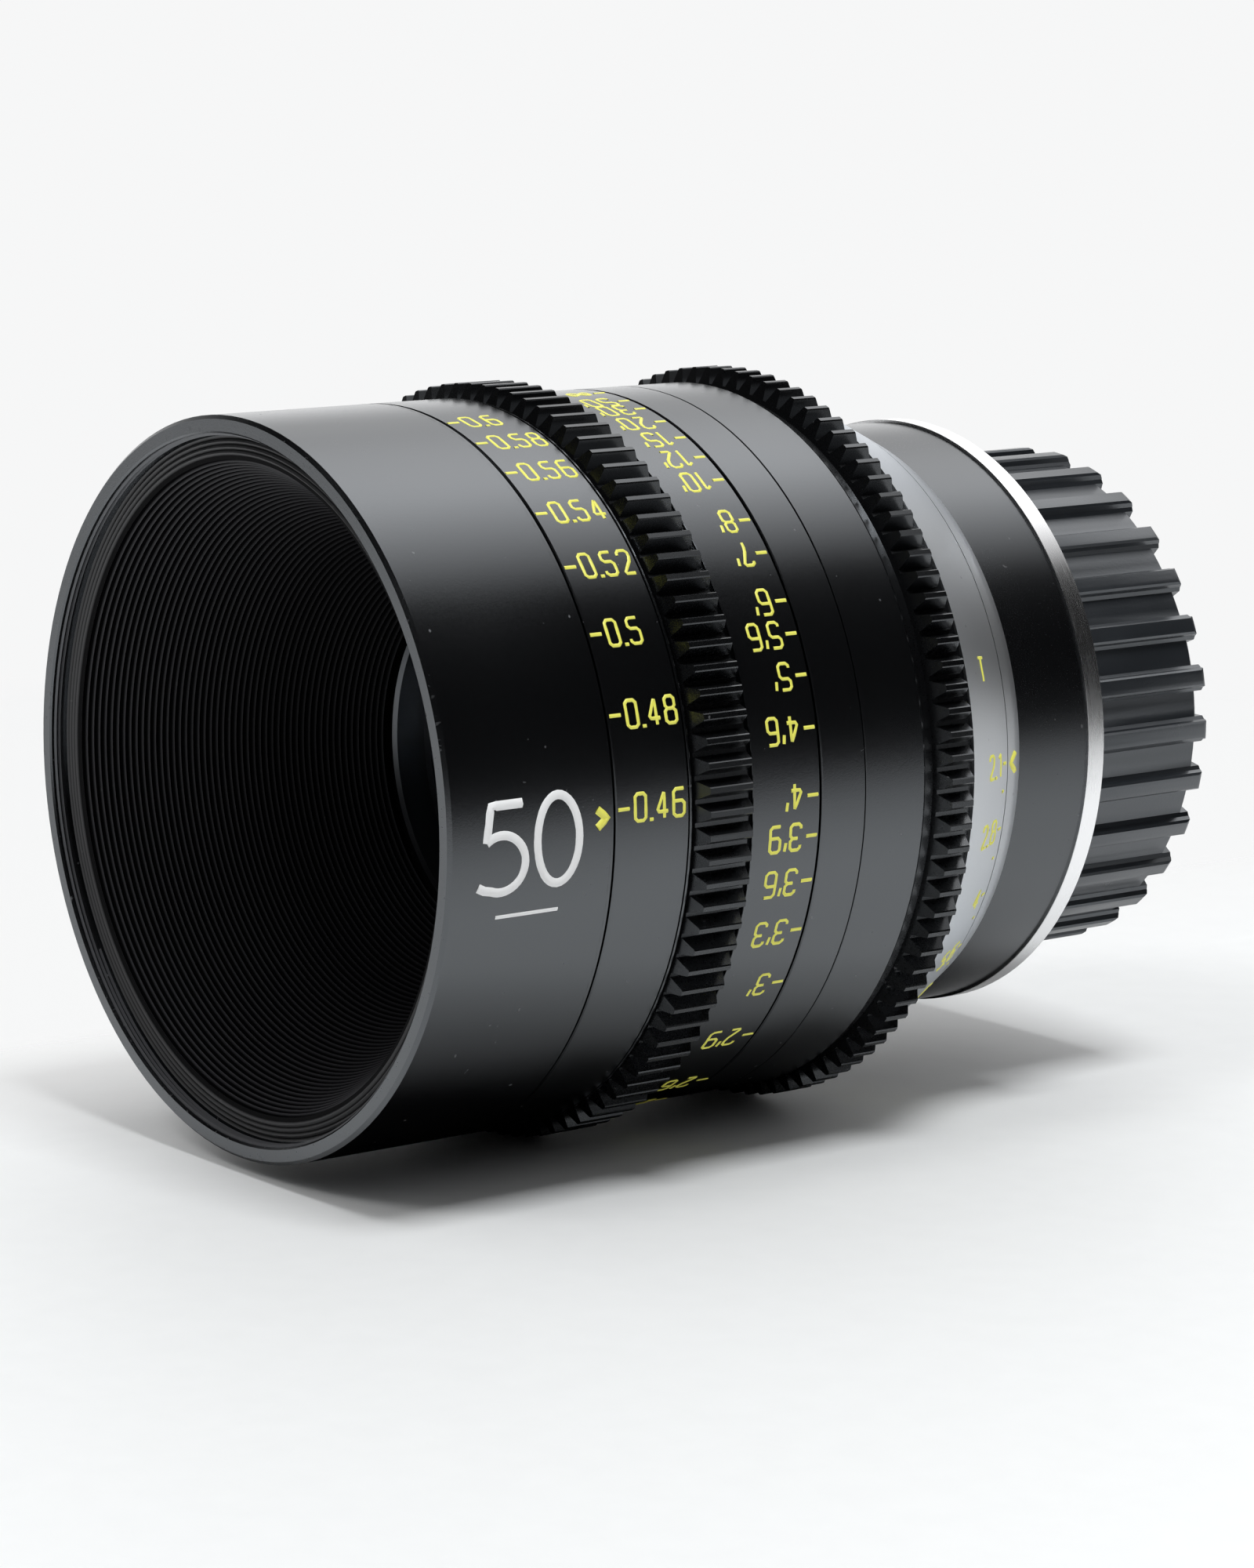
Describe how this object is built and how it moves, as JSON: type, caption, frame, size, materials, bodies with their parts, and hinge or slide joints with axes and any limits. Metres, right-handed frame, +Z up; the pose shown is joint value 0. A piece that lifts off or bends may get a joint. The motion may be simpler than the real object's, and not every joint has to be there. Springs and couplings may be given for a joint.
{
  "type": "cinema prime lens",
  "caption": "Cinema prime lens with toothed focus and iris rings, ribbed front funnel, bayonet mount flange and ribbed rear cap.",
  "frame": {"origin": "centre of the mount flange's rear face, on the optical axis", "axes": "+Y along the optical axis towards the camera, -Y towards the front of the lens, +Z up"},
  "size_m": [0.0832, 0.1141, 0.0832],
  "materials": {
    "barrel_black": "satin black anodised",
    "ring_black": "satin black anodised",
    "gear_black": "gloss black anodised",
    "scale_cone": "satin grey anodised",
    "baffle_black": "matt black",
    "cell_black": "black anodised",
    "helicoid_brass": "turned",
    "pin_steel": "turned",
    "mount_steel": "polished",
    "bush_white": "plain bearing",
    "lens_glass": "coated",
    "blade_black": "blackened",
    "cap_plastic": "moulded",
    "scale_paint": "yellow enamel",
    "numeral_paint": "white enamel"
  },
  "bodies": {
    "barrel": {"front_barrel": "barrel_black", "front_baffle": "baffle_black", "main_tube": "cell_black", "barrel_screws": "pin_steel", "mid_barrel": "barrel_black", "rear_barrel": "barrel_black", "mount_shim": "mount_steel", "mount_ring": "mount_steel", "mount_screws": "mount_steel", "rear_baffle": "baffle_black", "focus_bush_front": "bush_white", "focus_bush_rear": "bush_white", "iris_bush_front": "bush_white", "iris_bush_rear": "bush_white"},
    "focus_ring": {"focus_ring": "ring_black", "focus_gear": "gear_black", "focus_rear_band": "ring_black", "helicoid_nut": "helicoid_brass", "nut_screws": "pin_steel", "focus_stop_pin": "pin_steel"},
    "iris_ring": {"iris_ring": "ring_black", "iris_gear": "gear_black", "iris_cone": "scale_cone", "iris_key": "pin_steel"},
    "optical_block": {"helicoid_carrier": "helicoid_brass", "guide_pins": "pin_steel", "lens_cell": "cell_black", "front_cell": "cell_black", "front_retainer": "cell_black", "element_1": "lens_glass", "front_spacer": "cell_black", "element_2": "lens_glass", "element_3": "lens_glass", "iris_base": "cell_black", "rear_cell": "cell_black", "element_4": "lens_glass", "element_5": "lens_glass", "rear_spacer": "cell_black", "element_6": "lens_glass", "rear_retainer": "cell_black"},
    "iris_actuator": {"iris_actuator": "blade_black"},
    "rear_cap": {"rear_cap": "cap_plastic"},
    "iris_blade_01": {"iris_blade_01": "blade_black"},
    "iris_blade_02": {"iris_blade_02": "blade_black"},
    "iris_blade_03": {"iris_blade_03": "blade_black"},
    "iris_blade_04": {"iris_blade_04": "blade_black"},
    "iris_blade_05": {"iris_blade_05": "blade_black"},
    "iris_blade_06": {"iris_blade_06": "blade_black"},
    "iris_blade_07": {"iris_blade_07": "blade_black"},
    "iris_blade_08": {"iris_blade_08": "blade_black"},
    "iris_blade_09": {"iris_blade_09": "blade_black"},
    "iris_blade_10": {"iris_blade_10": "blade_black"},
    "iris_blade_11": {"iris_blade_11": "blade_black"},
    "iris_blade_12": {"iris_blade_12": "blade_black"}
  },
  "joints": [
    {"name": "focus_turn", "type": "hinge", "parent": "barrel", "child": "focus_ring", "pos_m": [0, -0.0593, 0], "axis": [0, 1, 0], "range_deg": [0, 270]},
    {"name": "iris_turn", "type": "hinge", "parent": "barrel", "child": "iris_ring", "pos_m": [0, -0.0276, 0], "axis": [0, 1, 0], "range_deg": [-75, 0]},
    {"name": "focus_slide", "type": "slide", "parent": "barrel", "child": "optical_block", "axis": [0, 1, 0], "range_m": [0, 0.0071]},
    {"name": "iris_actuator_turn", "type": "hinge", "parent": "optical_block", "child": "iris_actuator", "pos_m": [0, -0.0357, 0], "axis": [0, 1, 0], "range_deg": [-75, 0]},
    {"name": "iris_blade_01_turn", "type": "hinge", "parent": "optical_block", "child": "iris_blade_01", "pos_m": [0.022, -0.0385, 0], "axis": [0, 1, 0], "range_deg": [0, 31]},
    {"name": "iris_blade_02_turn", "type": "hinge", "parent": "optical_block", "child": "iris_blade_02", "pos_m": [0.01905, -0.0385, -0.011], "axis": [0, 1, 0], "range_deg": [0, 31]},
    {"name": "iris_blade_03_turn", "type": "hinge", "parent": "optical_block", "child": "iris_blade_03", "pos_m": [0.011, -0.0385, -0.01905], "axis": [0, 1, 0], "range_deg": [0, 31]},
    {"name": "iris_blade_04_turn", "type": "hinge", "parent": "optical_block", "child": "iris_blade_04", "pos_m": [0, -0.0385, -0.022], "axis": [0, 1, 0], "range_deg": [0, 31]},
    {"name": "iris_blade_05_turn", "type": "hinge", "parent": "optical_block", "child": "iris_blade_05", "pos_m": [-0.011, -0.0385, -0.01905], "axis": [0, 1, 0], "range_deg": [0, 31]},
    {"name": "iris_blade_06_turn", "type": "hinge", "parent": "optical_block", "child": "iris_blade_06", "pos_m": [-0.01905, -0.0385, -0.011], "axis": [0, 1, 0], "range_deg": [0, 31]},
    {"name": "iris_blade_07_turn", "type": "hinge", "parent": "optical_block", "child": "iris_blade_07", "pos_m": [-0.022, -0.0385, 0], "axis": [0, 1, 0], "range_deg": [0, 31]},
    {"name": "iris_blade_08_turn", "type": "hinge", "parent": "optical_block", "child": "iris_blade_08", "pos_m": [-0.01905, -0.0385, 0.011], "axis": [0, 1, 0], "range_deg": [0, 31]},
    {"name": "iris_blade_09_turn", "type": "hinge", "parent": "optical_block", "child": "iris_blade_09", "pos_m": [-0.011, -0.0385, 0.01905], "axis": [0, 1, 0], "range_deg": [0, 31]},
    {"name": "iris_blade_10_turn", "type": "hinge", "parent": "optical_block", "child": "iris_blade_10", "pos_m": [0, -0.0385, 0.022], "axis": [0, 1, 0], "range_deg": [0, 31]},
    {"name": "iris_blade_11_turn", "type": "hinge", "parent": "optical_block", "child": "iris_blade_11", "pos_m": [0.011, -0.0385, 0.01905], "axis": [0, 1, 0], "range_deg": [0, 31]},
    {"name": "iris_blade_12_turn", "type": "hinge", "parent": "optical_block", "child": "iris_blade_12", "pos_m": [0.01905, -0.0385, 0.011], "axis": [0, 1, 0], "range_deg": [0, 31]},
    {"name": "cap_pull", "type": "slide", "parent": "barrel", "child": "rear_cap", "axis": [0, 1, 0], "range_m": [0, 0.03]}
  ],
  "couplings": [
    {"joint": "focus_slide", "follows": "focus_turn", "m_per_rad": 0.0015067},
    {"joint": "iris_actuator_turn", "follows": "iris_turn", "ratio": 1},
    {"joint": "iris_blade_01_turn", "follows": "iris_turn", "ratio": -0.41333},
    {"joint": "iris_blade_02_turn", "follows": "iris_turn", "ratio": -0.41333},
    {"joint": "iris_blade_03_turn", "follows": "iris_turn", "ratio": -0.41333},
    {"joint": "iris_blade_04_turn", "follows": "iris_turn", "ratio": -0.41333},
    {"joint": "iris_blade_05_turn", "follows": "iris_turn", "ratio": -0.41333},
    {"joint": "iris_blade_06_turn", "follows": "iris_turn", "ratio": -0.41333},
    {"joint": "iris_blade_07_turn", "follows": "iris_turn", "ratio": -0.41333},
    {"joint": "iris_blade_08_turn", "follows": "iris_turn", "ratio": -0.41333},
    {"joint": "iris_blade_09_turn", "follows": "iris_turn", "ratio": -0.41333},
    {"joint": "iris_blade_10_turn", "follows": "iris_turn", "ratio": -0.41333},
    {"joint": "iris_blade_11_turn", "follows": "iris_turn", "ratio": -0.41333},
    {"joint": "iris_blade_12_turn", "follows": "iris_turn", "ratio": -0.41333}
  ]
}
